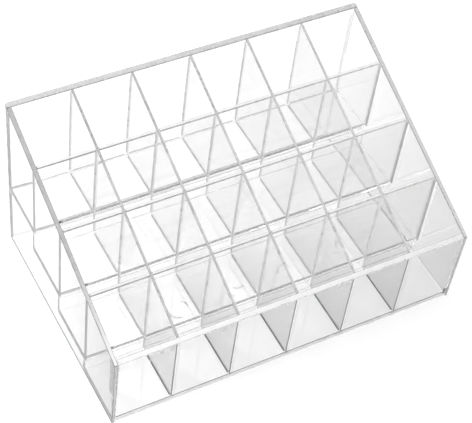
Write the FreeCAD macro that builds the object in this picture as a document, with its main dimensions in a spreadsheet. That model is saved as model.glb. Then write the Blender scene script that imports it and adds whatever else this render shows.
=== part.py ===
import FreeCAD, Part
import math
import os
import Sketcher

# A clear stepped vanity organizer: twenty-four open cells, six across and four deep, on floors that
# rise towards the back. It is put together from clear sheet, bonded edge to face. Four outer panels
# make the shell, floors and risers make the stair inside it, and thin dividers that cross in halving
# slots make the cells. Every rim lies in one plane that slopes from the back down to the front.
#
# Frame: millimetres, X to the right, Y to the back, Z up. The origin is under the middle of the base.

ROWS = 4
COLUMNS = 6

# Driving sizes: name, value, what it measures.
SIZES = [
    ("width", 145.0, "across the shell at its highest rim"),
    ("depth", 94.5, "front face to back face"),
    ("back_height", 72.5, "rim at the back face"),
    ("front_height", 35.5, "rim at the front face"),
    ("wall_sheet", 2.0, "front and back panels, and the side panels at the highest rim"),
    ("side_draft", 1.0, "how much thinner a side panel is at the base than at the highest rim"),
    ("corner_radius", 1.2, "rounding of the two upright corners at the back"),
    ("base_sheet", 1.6, "floor of the front row"),
    ("step_sheet", 1.6, "raised floors and the risers under them"),
    ("lower_rise", 6.8, "front row floor to second row floor"),
    ("middle_rise", 9.9, "second row floor to third row floor"),
    ("upper_rise", 10.5, "third row floor to back row floor"),
    ("grid_sheet", 1.0, "row dividers and column dividers"),
    ("bond_gap", 0.05, "cement line between two bonded faces"),
    ("slot_play", 0.1, "play on each side of a halving slot and at its end"),
    ("cut_overrun", 2.0, "how far a cut runs past the piece"),
]

# Floors from the front row to the back row. A riser and a row divider stand at the front edge of
# each raised floor, so their names start with the second row.
FLOORS = ["front_row_floor", "second_row_floor", "third_row_floor", "back_row_floor"]
RISES = ["lower_rise", "middle_rise", "upper_rise"]
RISERS = ["lower_riser", "middle_riser", "upper_riser"]
ROW_DIVIDERS = ["lower_row_divider", "middle_row_divider", "upper_row_divider"]

# Sizes that several pieces share, worked out from the driving sizes.
ROW_PITCH = f"(Sizes.depth - 2 * Sizes.wall_sheet + Sizes.grid_sheet) / {ROWS}"
COLUMN_PITCH = f"(Sizes.width - 2 * Sizes.wall_sheet + Sizes.grid_sheet) / {COLUMNS}"
INNER_WIDTH = "(Sizes.width - 2 * Sizes.wall_sheet - 2 * Sizes.bond_gap)"
INNER_BACK = "(Sizes.depth - Sizes.wall_sheet - Sizes.bond_gap)"
INNER_FRONT = "(Sizes.wall_sheet + Sizes.bond_gap)"
FRONT_FACE = "-Sizes.depth / 2"


def rim_at(distance):
    """Height of the sloping rim at a distance behind the front face."""
    return f"(Sizes.front_height + (Sizes.back_height - Sizes.front_height) * ({distance}) / Sizes.depth)"


def floor_top(row):
    """Height of a row's floor, where row 0 is the front row."""
    return "(Sizes.base_sheet" + "".join(f" + Sizes.{rise}" for rise in RISES[:row]) + ")"


def floor_seat(row):
    """Height at which a bonded piece stands on a row's floor."""
    return f"({floor_top(row)} + Sizes.bond_gap)"


def row_face(row):
    """Distance from the front face to the front of a raised row's riser, floor and divider."""
    return f"(Sizes.wall_sheet + {row} * {ROW_PITCH} - Sizes.grid_sheet)"


def divider_height(row):
    """Height of a row divider over its floor, measured on its front face."""
    return f"({rim_at(row_face(row))} - {floor_seat(row)})"


def column_place(column):
    """Middle plane of a column divider, counted from the left."""
    return f"(-Sizes.width / 2 + Sizes.wall_sheet - Sizes.grid_sheet / 2 + {column} * {COLUMN_PITCH})"


def make_sheet(document):
    """Writes the driving sizes into the sheet that every piece reads."""
    sheet = document.addObject("Spreadsheet::Sheet", "Sizes")
    for line, (alias, value, meaning) in enumerate(SIZES, start=1):
        sheet.set(f"A{line}", alias)
        sheet.set(f"B{line}", str(value))
        sheet.set(f"C{line}", meaning)
        sheet.setAlias(f"B{line}", alias)
    document.recompute()
    return sheet


def new_body(document, label, x="0", y=FRONT_FACE, z="0"):
    """Starts one piece and ties its place to the sheet."""
    body = document.addObject("PartDesign::Body", label)
    body.Label = label
    for axis, place in (("x", x), ("y", y), ("z", z)):
        body.setExpression(f"Placement.Base.{axis}", place)
    return body


def origin_feature(body, role):
    """Finds one of the body's own origin planes or axes."""
    return next(feature for feature in body.Origin.OriginFeatures if feature.Role == role)


def outline(body, name, plane, corners):
    """Draws a closed straight-sided outline whose corners are tied to the sheet.

    The outline starts as a regular polygon on a unit circle, and the ties carry each corner to its place.
    """
    sketch = body.newObject("Sketcher::SketchObject", name)
    sketch.AttachmentSupport = [(origin_feature(body, plane), "")]
    sketch.MapMode = "FlatFace"
    count = len(corners)
    turns = [2 * math.pi * index / count for index in range(count)]
    start = [FreeCAD.Vector(math.cos(turn), math.sin(turn), 0) for turn in turns]
    for index in range(count):
        sketch.addGeometry(Part.LineSegment(start[index], start[(index + 1) % count]), False)
    for index in range(count):
        sketch.addConstraint(Sketcher.Constraint("Coincident", index, 2, (index + 1) % count, 1))
    for index, (across, up) in enumerate(corners):
        for axis, place, value in (("X", across, start[index].x), ("Y", up, start[index].y)):
            tie = sketch.addConstraint(Sketcher.Constraint(f"Distance{axis}", index, 1, value))
            sketch.renameConstraint(tie, f"corner_{index}_{axis.lower()}")
            sketch.setExpression(f"Constraints.corner_{index}_{axis.lower()}", place)
    return sketch


def pad(body, sketch, length, symmetric=False, reverse=False):
    """Extrudes an outline, and leaves the solid ready for a cut."""
    feature = body.newObject("PartDesign::Pad", "Pad")
    feature.Profile = sketch
    feature.setExpression("Length", length)
    feature.SideType = "Symmetric" if symmetric else "One side"
    feature.Reversed = reverse
    body.Document.recompute()
    return feature


def cut_through(body, sketch):
    """Cuts an outline through the whole piece in both directions, and checks that it removed something."""
    before = body.Shape.Volume
    feature = body.newObject("PartDesign::Pocket", "Pocket")
    feature.Profile = sketch
    feature.Type = "ThroughAll"
    feature.SideType = "Symmetric"
    body.Document.recompute()
    if not body.Shape.Volume < before:
        raise RuntimeError(f"{body.Label}: a cut removed nothing")
    return feature


def cut_rim(body, front, length):
    """Cuts the top of a piece to the slope of the rim.

    front is the piece's distance behind the front face, and length is how far it reaches back.
    """
    near = "-Sizes.cut_overrun"
    far = f"({length} + Sizes.cut_overrun)"
    above = "(Sizes.back_height + Sizes.cut_overrun)"
    corners = [
        (near, rim_at(f"{front} + {near}")),
        (far, rim_at(f"{front} + {far}")),
        (far, rim_at(f"{front} + {far}") + f" + {above}"),
        (near, rim_at(f"{front} + {near}") + f" + {above}"),
    ]
    return cut_through(body, outline(body, "rim_cut", "YZ_Plane", corners))


def side_panel(document, label, side):
    """One side panel: plumb inside, leaning outwards on its outside, with the rim cut to the slope."""
    inner_face = f"{side} * (Sizes.width / 2 - Sizes.wall_sheet)"
    body = new_body(document, label, x=inner_face)
    corners = [
        ("0", "0"),
        (f"{side} * (Sizes.wall_sheet - Sizes.side_draft)", "0"),
        (f"{side} * Sizes.wall_sheet", "Sizes.back_height"),
        ("0", "Sizes.back_height"),
    ]
    pad(body, outline(body, "wedge", "XZ_Plane", corners), INNER_BACK, reverse=True)
    cut_rim(body, "0", INNER_BACK)
    return body


def back_panel(document):
    """The back panel: it closes the whole back, and its ends follow the lean of the side panels."""
    body = new_body(document, "back_panel", y=f"{FRONT_FACE} + Sizes.depth - Sizes.wall_sheet")
    corners = [
        ("-(Sizes.width / 2 - Sizes.side_draft)", "0"),
        ("Sizes.width / 2 - Sizes.side_draft", "0"),
        ("Sizes.width / 2", "Sizes.back_height"),
        ("-Sizes.width / 2", "Sizes.back_height"),
    ]
    pad(body, outline(body, "outer_outline", "XZ_Plane", corners), "Sizes.wall_sheet", reverse=True)
    cut = cut_rim(body, "(Sizes.depth - Sizes.wall_sheet)", "Sizes.wall_sheet")
    box = cut.Shape.BoundBox
    upright = [
        f"Edge{index}"
        for index, edge in enumerate(cut.Shape.Edges, start=1)
        if edge.BoundBox.ZLength > box.ZLength / 2 and edge.CenterOfMass.y > box.Center.y
    ]
    corner = body.newObject("PartDesign::Fillet", "Fillet")
    corner.Base = (cut, upright)
    corner.setExpression("Radius", "Sizes.corner_radius")
    return body


def front_panel(document):
    """The front panel: it stands on the front row's floor, between the side panels."""
    body = new_body(document, "front_panel", z=floor_seat(0))
    corners = [
        ("0", "0"),
        ("Sizes.wall_sheet", "0"),
        ("Sizes.wall_sheet", f"{rim_at('Sizes.wall_sheet')} - {floor_seat(0)}"),
        ("0", f"Sizes.front_height - {floor_seat(0)}"),
    ]
    pad(body, outline(body, "section", "YZ_Plane", corners), INNER_WIDTH, symmetric=True)
    return body


def row_floor(document, row):
    """One row's floor, from its own front edge to the far side of the next riser."""
    start = row_face(row) if row > 0 else "0"
    is_last = row == ROWS - 1
    end = INNER_BACK if is_last else f"({row_face(row + 1)} + Sizes.step_sheet)"
    thickness = "Sizes.step_sheet" if row > 0 else "Sizes.base_sheet"
    body = new_body(document, FLOORS[row], y=f"{FRONT_FACE} + {start}", z=f"{floor_top(row)} - {thickness}")
    half = f"{INNER_WIDTH} / 2"
    reach = f"({end} - {start})"
    corners = [(f"-{half}", "0"), (half, "0"), (half, reach), (f"-{half}", reach)]
    pad(body, outline(body, "plate", "XY_Plane", corners), thickness)
    return body


def riser(document, row):
    """The strip that carries the front edge of a raised floor on the floor in front of it."""
    body = new_body(document, RISERS[row - 1], y=f"{FRONT_FACE} + {row_face(row)}", z=floor_seat(row - 1))
    height = f"({floor_top(row)} - Sizes.step_sheet - Sizes.bond_gap - {floor_seat(row - 1)})"
    corners = [("0", "0"), ("Sizes.step_sheet", "0"), ("Sizes.step_sheet", height), ("0", height)]
    pad(body, outline(body, "section", "YZ_Plane", corners), INNER_WIDTH, symmetric=True)
    return body


def row_divider(document, row):
    """A divider across all columns, with a halving slot from its rim for each column divider."""
    front = row_face(row)
    body = new_body(document, ROW_DIVIDERS[row - 1], y=f"{FRONT_FACE} + {front}", z=floor_seat(row))
    back_rim = f"({rim_at(f'{front} + Sizes.grid_sheet')} - {floor_seat(row)})"
    corners = [
        ("0", "0"),
        ("Sizes.grid_sheet", "0"),
        ("Sizes.grid_sheet", back_rim),
        ("0", divider_height(row)),
    ]
    pad(body, outline(body, "section", "YZ_Plane", corners), INNER_WIDTH, symmetric=True)

    half_slot = "(Sizes.grid_sheet / 2 + Sizes.slot_play)"
    left = f"{column_place(1)} - {half_slot}"
    right = f"{column_place(1)} + {half_slot}"
    bottom = f"{divider_height(row)} / 2 - Sizes.slot_play"
    top = f"{back_rim} + Sizes.cut_overrun"
    corners = [(left, bottom), (right, bottom), (right, top), (left, top)]
    slot = cut_through(body, outline(body, "slot", "XZ_Plane", corners))

    slots = body.newObject("PartDesign::LinearPattern", "Slots")
    slots.Originals = [slot]
    slots.Direction = (origin_feature(body, "X_Axis"), [""])
    slots.Mode = "Spacing"
    slots.Occurrences = COLUMNS - 1
    slots.setExpression("Offset", COLUMN_PITCH)
    body.Tip = slots
    return body


def column_divider(document, column):
    """A divider from front to back: its foot follows the stair, with a halving slot over each row divider."""
    body = new_body(document, f"column_divider_{column}", x=column_place(column))
    corners = [
        (INNER_BACK, floor_seat(ROWS - 1)),
        (INNER_BACK, rim_at(INNER_BACK)),
        (INNER_FRONT, rim_at(INNER_FRONT)),
        (INNER_FRONT, floor_seat(0)),
    ]
    for row in range(1, ROWS):
        near = f"({row_face(row)} - Sizes.slot_play)"
        far = f"({row_face(row)} + Sizes.grid_sheet + Sizes.slot_play)"
        roof = f"({floor_seat(row)} + {divider_height(row)} / 2)"
        corners += [(near, floor_seat(row - 1)), (near, roof), (far, roof), (far, floor_seat(row))]
    pad(body, outline(body, "profile", "YZ_Plane", corners), "Sizes.grid_sheet", symmetric=True)
    return body


def build(document):
    """Makes every piece, shell first, then the stair, then the dividers."""
    pieces = [
        back_panel(document),
        front_panel(document),
        side_panel(document, "left_side_panel", -1),
        side_panel(document, "right_side_panel", 1),
    ]
    pieces += [row_floor(document, row) for row in range(ROWS)]
    pieces += [riser(document, row) for row in range(1, ROWS)]
    pieces += [row_divider(document, row) for row in range(1, ROWS)]
    pieces += [column_divider(document, column) for column in range(1, COLUMNS)]
    document.recompute()
    return pieces


def check(document, pieces):
    """Stops if any feature failed or any piece isn't one sound solid."""
    for item in document.Objects:
        if "Invalid" in item.State or "Error" in item.State:
            raise RuntimeError(f"{item.Label} failed: {item.State}")
    for piece in pieces:
        shape = piece.Shape
        if shape.isNull() or not shape.isValid() or len(shape.Solids) != 1:
            raise RuntimeError(f"{piece.Label} is not one sound solid")


def write(pieces):
    """Writes each piece to its own file."""
    os.makedirs("parts", exist_ok=True)
    for piece in pieces:
        piece.Shape.exportStep(f"parts/{piece.Label}.step")
        print(f"{piece.Label}: {piece.Shape.Volume:.1f} cubic millimetres")


def main():
    document = FreeCAD.newDocument("vanity_organizer")
    make_sheet(document)
    pieces = build(document)
    check(document, pieces)
    write(pieces)


main()
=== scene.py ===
"""Looks of a clear stepped vanity organizer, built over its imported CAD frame.

Lengths are in metres, in the frame of the CAD model: the origin lies under the middle of the
base, X points right, Y to the back and Z up. Each sheet is blocked out, trimmed, slotted and
eased in the place of the CAD node that it stands for, and the cement that bonds the sheets is
laid along their joints.
"""
import logging
import math
import random
from dataclasses import dataclass, field
from enum import Enum
from typing import Callable, Sequence

import bpy
from mathutils import Matrix, Vector


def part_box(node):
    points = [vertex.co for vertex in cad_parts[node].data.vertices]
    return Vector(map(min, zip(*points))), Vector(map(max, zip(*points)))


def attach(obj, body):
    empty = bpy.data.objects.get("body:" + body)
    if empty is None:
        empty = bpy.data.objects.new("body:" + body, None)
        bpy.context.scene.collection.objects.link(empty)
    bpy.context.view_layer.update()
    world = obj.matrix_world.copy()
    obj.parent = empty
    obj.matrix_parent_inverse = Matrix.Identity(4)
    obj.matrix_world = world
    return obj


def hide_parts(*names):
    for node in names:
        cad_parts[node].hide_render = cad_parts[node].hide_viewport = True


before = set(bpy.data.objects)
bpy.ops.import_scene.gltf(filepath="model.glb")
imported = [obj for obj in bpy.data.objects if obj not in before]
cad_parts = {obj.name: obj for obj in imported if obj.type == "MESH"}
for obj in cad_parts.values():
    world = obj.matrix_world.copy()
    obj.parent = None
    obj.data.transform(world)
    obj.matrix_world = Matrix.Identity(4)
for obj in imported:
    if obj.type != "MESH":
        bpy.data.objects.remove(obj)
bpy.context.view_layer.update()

log = logging.getLogger("organizer")

Piece = bpy.types.Object
Node = bpy.types.Node
Socket = bpy.types.NodeSocket

MM = 0.001
BODY = "root"

LEFT, RIGHT = Vector((-1.0, 0.0, 0.0)), Vector((1.0, 0.0, 0.0))
FORWARD, REAR = Vector((0.0, -1.0, 0.0)), Vector((0.0, 1.0, 0.0))
DOWN, UP = Vector((0.0, 0.0, -1.0)), Vector((0.0, 0.0, 1.0))

ROW_DIVIDERS = ("lower_row_divider", "middle_row_divider", "upper_row_divider")
COLUMN_COUNT = 5
COLUMN_DIVIDERS = tuple(f"column_divider_{number + 1}" for number in range(COLUMN_COUNT))
ROW_FLOORS = ("front_row_floor", "second_row_floor", "third_row_floor", "back_row_floor")
RISERS = ("lower_riser", "middle_riser", "upper_riser")

# Below this height the cement in the front corners ran dry.
DRY_HEIGHT = 16.0 * MM
ACRYLIC_REFRACTION = 1.49
CEMENT_ROUGHNESS_SHARES = (0.25, 0.5)
CEMENT_MARK_SCALE = 500.0
LIGHT_BOUNCES = 64
WHITE = (1.0, 1.0, 1.0, 1.0)


class Slot(Enum):
    """The material slots of the record, one for each sub-assembly of sheets."""

    SHELL = "shell_sheet"
    STAIR = "stair_sheet"
    DIVIDER = "divider_sheet"


class Part(Enum):
    """The parts of a sheet, as the place of their finish among the sheet's materials.

    Only a sheet that got a dark dash of cement has the last one.
    """

    FACE = 0
    RIM = 1
    END = 2
    ARRIS = 3
    BOND = 4
    DASH = 5


class Side(Enum):
    """The two sides of the organizer, as the sign of X."""

    LEFT = -1
    RIGHT = 1

    @property
    def word(self) -> str:
        """The side's name in small letters."""
        return self.name.lower()

    @property
    def panel(self) -> str:
        """The CAD node of the side's panel."""
        return f"{self.word}_side_panel"


class Wiring:
    """Short words for adding and joining the nodes of one tree."""

    def __init__(self, tree: bpy.types.NodeTree) -> None:
        """Keeps the tree that the nodes go into."""
        self.tree = tree

    def add(self, kind: str, **settings: object) -> Node:
        """Adds a node and sets its own properties.

        Args:
            kind: The node's type name, without its ShaderNode start where it has one.
            settings: Property names of the node with the values to give them.

        Returns:
            The new node.
        """
        start = "" if kind.startswith("NodeGroup") else "ShaderNode"
        node = self.tree.nodes.new(start + kind)
        for name, value in settings.items():
            setattr(node, name, value)
        return node

    def fix(self, node: Node, **values: object) -> Node:
        """Sets plain values on a node's inputs.

        Args:
            node: The node to set.
            values: Input names, with an underscore for each space, and their values.

        Returns:
            The same node.
        """
        for name, value in values.items():
            node.inputs[name.replace("_", " ")].default_value = value
        return node

    def join(self, source: Socket, target: Socket) -> None:
        """Links an output to an input."""
        self.tree.links.new(source, target)

    def feed(self, source: object, target: Socket) -> None:
        """Links an output to an input, or sets the input to a plain number.

        Args:
            source: A socket or a number.
            target: The input.
        """
        if isinstance(source, Socket):
            self.join(source, target)
        else:
            target.default_value = source

    def maths(self, operation: str, first: object, second: object) -> Socket:
        """Adds a Math node fed by sockets or plain numbers.

        Args:
            operation: The Math node's operation.
            first: A socket or a number for the first input.
            second: A socket or a number for the second input.

        Returns:
            The node's output socket.
        """
        node = self.add("Math", operation=operation)
        self.feed(first, node.inputs[0])
        self.feed(second, node.inputs[1])
        return node.outputs[0]

    def between(self, share: Socket, low: object, high: object) -> Socket:
        """Adds a value that goes from one to another as a share goes from 0 to 1.

        Args:
            share: The socket of the share.
            low: A socket or number at share 0.
            high: A socket or number at share 1.

        Returns:
            The socket of the value in between.
        """
        node = self.add("Mix", data_type="FLOAT")
        self.join(share, node.inputs[0])
        self.feed(low, node.inputs[2])
        self.feed(high, node.inputs[3])
        return node.outputs[0]

    def grey(self, share: Socket, low: object, high: object) -> Socket:
        """Adds a grey that goes from one tone to another as a share goes from 0 to 1.

        Args:
            share: The socket of the share.
            low: The tone at share 0.
            high: The tone at share 1.

        Returns:
            The socket of the colour.
        """
        tone = self.between(share, low, high)
        colour = self.add("CombineColor")
        for channel in colour.inputs:
            self.join(tone, channel)
        return colour.outputs[0]

    def ramp(self, value: Socket, start: float, end: float) -> Socket:
        """Adds a share that goes from 0 to 1 as a value goes from a start to an end.

        Args:
            value: The socket of the value.
            start: The value at share 0.
            end: The value at share 1.

        Returns:
            The socket of the share.
        """
        node = self.fix(self.add("MapRange"), From_Min=start, From_Max=end)
        self.join(value, node.inputs["Value"])
        return node.outputs[0]

    def noise(self, place: Socket, scale: object, **values: float) -> Socket:
        """Adds noise over a place.

        Args:
            place: The socket of the place.
            scale: A socket or a number for the noise's scale.
            values: Names of the noise's other inputs and their values.

        Returns:
            The socket of the noise's strength.
        """
        node = self.fix(self.add("TexNoise"), **values)
        self.join(place, node.inputs["Vector"])
        self.feed(scale, node.inputs["Scale"])
        return node.outputs["Fac"]

    def axes(self, place: Socket) -> list[Socket]:
        """Splits a place into its X, Y and Z.

        Args:
            place: The socket of the place.

        Returns:
            The sockets of the three.
        """
        node = self.add("SeparateXYZ")
        self.join(place, node.inputs[0])
        return list(node.outputs)

    def roughen(self, shader: Node, height: Socket, depth: float) -> None:
        """Gives a surface a fine relief.

        Args:
            shader: The Principled shader.
            height: The socket of the relief's height.
            depth: How deep the relief goes.
        """
        bump = self.fix(self.add("Bump"), Strength=1.0, Distance=depth)
        self.join(height, bump.inputs["Height"])
        self.join(bump.outputs["Normal"], shader.inputs["Normal"])


def pass_light(wires: Wiring, shader: Node, share: float) -> None:
    """Lets light through a clear surface to what lies behind it, straight and a little dimmed.

    Args:
        wires: The material's wiring.
        shader: The Principled shader.
        share: The share of the light that passes the surface.
    """
    clear = wires.fix(wires.add("BsdfTransparent"), Color=(share, share, share, 1.0))
    path = wires.add("LightPath")
    surface = shader.outputs[0]
    for ray in ("Is Diffuse Ray", "Is Shadow Ray"):
        choice = wires.add("MixShader")
        wires.join(path.outputs[ray], choice.inputs[0])
        wires.join(surface, choice.inputs[1])
        wires.join(clear.outputs[0], choice.inputs[2])
        surface = choice.outputs[0]
    wires.join(surface, wires.tree.nodes["Material Output"].inputs["Surface"])


class Effects:
    """The node groups that more than one finish uses, each built once."""

    SMUDGE_SPAN = (0.45, 0.75)
    STREAK_SPAN = (0.5, 0.8)
    STREAK_STRETCH = (1.0, 1.0, 0.06)
    RIPPLE_SCALE = 60.0
    WEAR_SCALE = 220.0
    WEAR_SPAN = (0.35, 0.7)

    @staticmethod
    def begin(name: str, inputs: Sequence[tuple[str, str]], outputs: Sequence[str]) -> tuple:
        """Starts a node group with its sockets.

        Args:
            name: The group's name.
            inputs: Pairs of input name and socket type.
            outputs: Names of the value outputs.

        Returns:
            The group's wiring, its input node and its output node.
        """
        group = bpy.data.node_groups.new(name, "ShaderNodeTree")
        for label, kind in inputs:
            group.interface.new_socket(label, in_out="INPUT", socket_type=kind)
        for label in outputs:
            group.interface.new_socket(label, in_out="OUTPUT", socket_type="NodeSocketFloat")
        wires = Wiring(group)
        return wires, wires.add("NodeGroupInput"), wires.add("NodeGroupOutput")

    @staticmethod
    def handling_marks() -> bpy.types.NodeTree:
        """Makes the faint smudges, wipe streaks and ripple of a clear face.

        Returns:
            The group, made on the first call.
        """
        known = bpy.data.node_groups.get("handling_marks")
        if known:
            return known
        sockets = (("Place", "NodeSocketVector"), ("Smudge Scale", "NodeSocketFloat"),
                   ("Streak Scale", "NodeSocketFloat"))
        wires, start, end = Effects.begin("handling_marks", sockets, ("Haze", "Ripple"))
        place = start.outputs["Place"]
        smudge = wires.noise(place, start.outputs["Smudge Scale"], Detail=3.0, Roughness=0.6)
        drawn = wires.fix(wires.add("Mapping"), Scale=Effects.STREAK_STRETCH)
        wires.join(place, drawn.inputs["Vector"])
        streak = wires.noise(drawn.outputs["Vector"], start.outputs["Streak Scale"], Detail=2.0)
        haze = wires.maths("MAXIMUM", wires.ramp(smudge, *Effects.SMUDGE_SPAN),
                           wires.ramp(streak, *Effects.STREAK_SPAN))
        wires.join(haze, end.inputs["Haze"])
        wires.join(wires.noise(place, Effects.RIPPLE_SCALE, Detail=1.0), end.inputs["Ripple"])
        return wires.tree

    @staticmethod
    def saw_marks() -> bpy.types.NodeTree:
        """Makes the fine tool marks left on a cut and lightly flamed edge.

        Returns:
            The group, made on the first call.
        """
        known = bpy.data.node_groups.get("saw_marks")
        if known:
            return known
        sockets = (("Place", "NodeSocketVector"), ("Mark Scale", "NodeSocketFloat"))
        wires, start, end = Effects.begin("saw_marks", sockets, ("Grain", "Height"))
        place = start.outputs["Place"]
        wear = wires.noise(place, Effects.WEAR_SCALE, Detail=2.0)
        tooth = wires.noise(place, start.outputs["Mark Scale"], Detail=2.0, Roughness=0.7)
        wires.join(wires.ramp(wear, *Effects.WEAR_SPAN), end.inputs["Grain"])
        wires.join(tooth, end.inputs["Height"])
        return wires.tree


@dataclass(frozen=True)
class Finish:
    """A finish that is made into a material once."""

    name: str

    def material(self) -> bpy.types.Material:
        """Makes the finish into a material.

        Returns:
            The material, made on the first call.
        """
        made = bpy.data.materials.get(self.name)
        if made is None:
            made = bpy.data.materials.new(self.name)
            made.use_nodes = True
            self.dress(Wiring(made.node_tree), made.node_tree.nodes["Principled BSDF"])
        return made

    def dress(self, wires: Wiring, shader: Node) -> None:
        """Wires the look, which each kind of finish has of its own."""
        raise NotImplementedError


@dataclass(frozen=True)
class ClearSheet(Finish):
    """Clear acrylic with faint smudges, wipe streaks and ripple on its faces.

    Its tint goes from one share at the front to another at the back, and a front darker than the back is
    painted shade.
    Where it has a rise share, height counts that much as depth, so the lower part takes more of that
    painted shade.
    The right end can be dimmer than the middle, which is painted shade as well.
    """

    tint_and_shade_shares: tuple[float, float]
    shadow_share: float
    right_shade_share: float = 1.0
    rise_share: float = 0.0
    front: float = -45.0 * MM
    back: float = 0.0
    reach: float = 70.0 * MM
    roughness_shares: tuple[float, float] = (0.0, 0.02)
    smudge_scale: float = 70.0
    streak_scale: float = 900.0
    ripple_depth: float = 0.004 * MM
    smudge_share: float = 0.985

    def dress(self, wires: Wiring, shader: Node) -> None:
        """Wires the clear face.

        Args:
            wires: The material's wiring.
            shader: The Principled shader.
        """
        wires.fix(shader, Transmission_Weight=1.0, IOR=ACRYLIC_REFRACTION)
        marks = wires.add("Group", node_tree=Effects.handling_marks())
        wires.fix(marks, Smudge_Scale=self.smudge_scale, Streak_Scale=self.streak_scale)
        place = wires.add("TexCoord").outputs["Object"]
        wires.join(place, marks.inputs["Place"])
        haze = marks.outputs["Haze"]
        right, rear, up = wires.axes(place)
        depth = wires.maths("ADD", rear, wires.maths("MULTIPLY", up, self.rise_share))
        # Painted shade: the tint darkens towards the front, towards the foot where height counts, and
        # towards the right end.
        tint = wires.maths("MULTIPLY",
                           wires.between(wires.ramp(depth, self.front, self.back), *self.tint_and_shade_shares),
                           wires.between(wires.ramp(right, 0.0, self.reach), 1.0, self.right_shade_share))
        smudged = wires.maths("MULTIPLY", tint, self.smudge_share)
        wires.join(wires.grey(haze, tint, smudged), shader.inputs["Base Color"])
        wires.join(wires.between(haze, *self.roughness_shares), shader.inputs["Roughness"])
        wires.roughen(shader, marks.outputs["Ripple"], self.ripple_depth)
        pass_light(wires, shader, self.shadow_share)


@dataclass(frozen=True)
class FrostedEdge(Finish):
    """Acrylic left grey by a tool or by cement: half clear, with fine marks.

    Its tones can lift to the right and to the front as painted light, or sink as painted shade where a lift
    is below zero.
    Its glow is painted light as well: the edge gives off light though it is no lamp. It is even, or has a
    share at the start and one at the end of the front's lift.
    """

    tone_shares: tuple[float, float]
    see_through: float = 0.5
    roughness_shares: tuple[float, float] = (0.2, 0.4)
    shadow_share: float = 0.95
    right_lift: float = 0.0
    painted_front_lift: float = 0.0
    piped_light: float = 0.0
    painted_glow_shares: tuple[float, ...] = ()
    gloss: float = 0.5
    reach: float = 70.0 * MM
    lift_start: float = 70.0 * MM
    lift_end: float = -70.0 * MM
    mark_scale: float = 2600.0
    tooth_depth: float = 0.004 * MM

    def dress(self, wires: Wiring, shader: Node) -> None:
        """Wires the frosted face.

        Args:
            wires: The material's wiring.
            shader: The Principled shader.
        """
        wires.fix(shader, Transmission_Weight=self.see_through, IOR=ACRYLIC_REFRACTION)
        wires.fix(shader, Specular_IOR_Level=self.gloss)
        # Painted light: the edge glows, though it is no lamp.
        wires.fix(shader, Emission_Color=WHITE, Emission_Strength=self.piped_light)
        saw = wires.fix(wires.add("Group", node_tree=Effects.saw_marks()), Mark_Scale=self.mark_scale)
        place = wires.add("TexCoord").outputs["Object"]
        wires.join(place, saw.inputs["Place"])
        grain = saw.outputs["Grain"]
        right, rear, _ = wires.axes(place)
        across = wires.ramp(right, -self.reach, self.reach)
        ahead = wires.ramp(rear, self.lift_start, self.lift_end)
        if self.painted_glow_shares:
            wires.join(wires.grey(ahead, *self.painted_glow_shares), shader.inputs["Emission Color"])
        # Painted light and shade: the tones lift towards the right and the front, or sink where a lift is
        # below zero.
        lift = wires.maths("ADD", wires.maths("MULTIPLY", across, self.right_lift),
                           wires.maths("MULTIPLY", ahead, self.painted_front_lift))
        tones = [wires.maths("ADD", lift, tone) for tone in self.tone_shares]
        wires.join(wires.grey(grain, *tones), shader.inputs["Base Color"])
        wires.join(wires.between(grain, *self.roughness_shares), shader.inputs["Roughness"])
        wires.roughen(shader, saw.outputs["Height"], self.tooth_depth)
        pass_light(wires, shader, self.shadow_share)


@dataclass(frozen=True)
class PaleFloor(Finish):
    """Matt white paper, lit to white around the organizer."""

    name: str = "white_paper"
    paper_shares: tuple[float, float] = (0.89, 0.91)
    glow: float = 0.22
    fibre_scale: float = 900.0

    def dress(self, wires: Wiring, shader: Node) -> None:
        """Wires the paper.

        Args:
            wires: The material's wiring.
            shader: The Principled shader.
        """
        wires.fix(shader, Roughness=1.0, Specular_IOR_Level=0.0, Emission_Color=WHITE)
        fibre = wires.noise(wires.add("TexCoord").outputs["Object"], self.fibre_scale, Detail=2.0)
        wires.join(wires.grey(fibre, *self.paper_shares), shader.inputs["Base Color"])
        path = wires.add("LightPath")
        seen = wires.maths("MAXIMUM", path.outputs["Is Camera Ray"], path.outputs["Is Glossy Ray"])
        seen = wires.maths("MAXIMUM", seen, path.outputs["Is Transmission Ray"])
        wires.join(wires.maths("MULTIPLY", seen, self.glow), shader.inputs["Emission Strength"])


@dataclass(frozen=True)
class SheetDress:
    """The finishes of a sheet: its faces, its rim, its sawn ends, their arrises and its bonds."""

    face: ClearSheet
    rim: FrostedEdge
    end: FrostedEdge
    arris: FrostedEdge
    bond: FrostedEdge


def cement(name: str, tone_shares: tuple[float, float], see_through: float = 0.0,
           **more: float) -> FrostedEdge:
    """Mixes a cement, which is coarser than a sawn edge.

    Args:
        name: The finish's name.
        tone_shares: Its darkest and its palest tone.
        see_through: How clear it is.
        more: Other values of the finish.

    Returns:
        The finish.
    """
    return FrostedEdge(name, tone_shares, see_through, CEMENT_ROUGHNESS_SHARES,
                       mark_scale=CEMENT_MARK_SCALE, **more)


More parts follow.
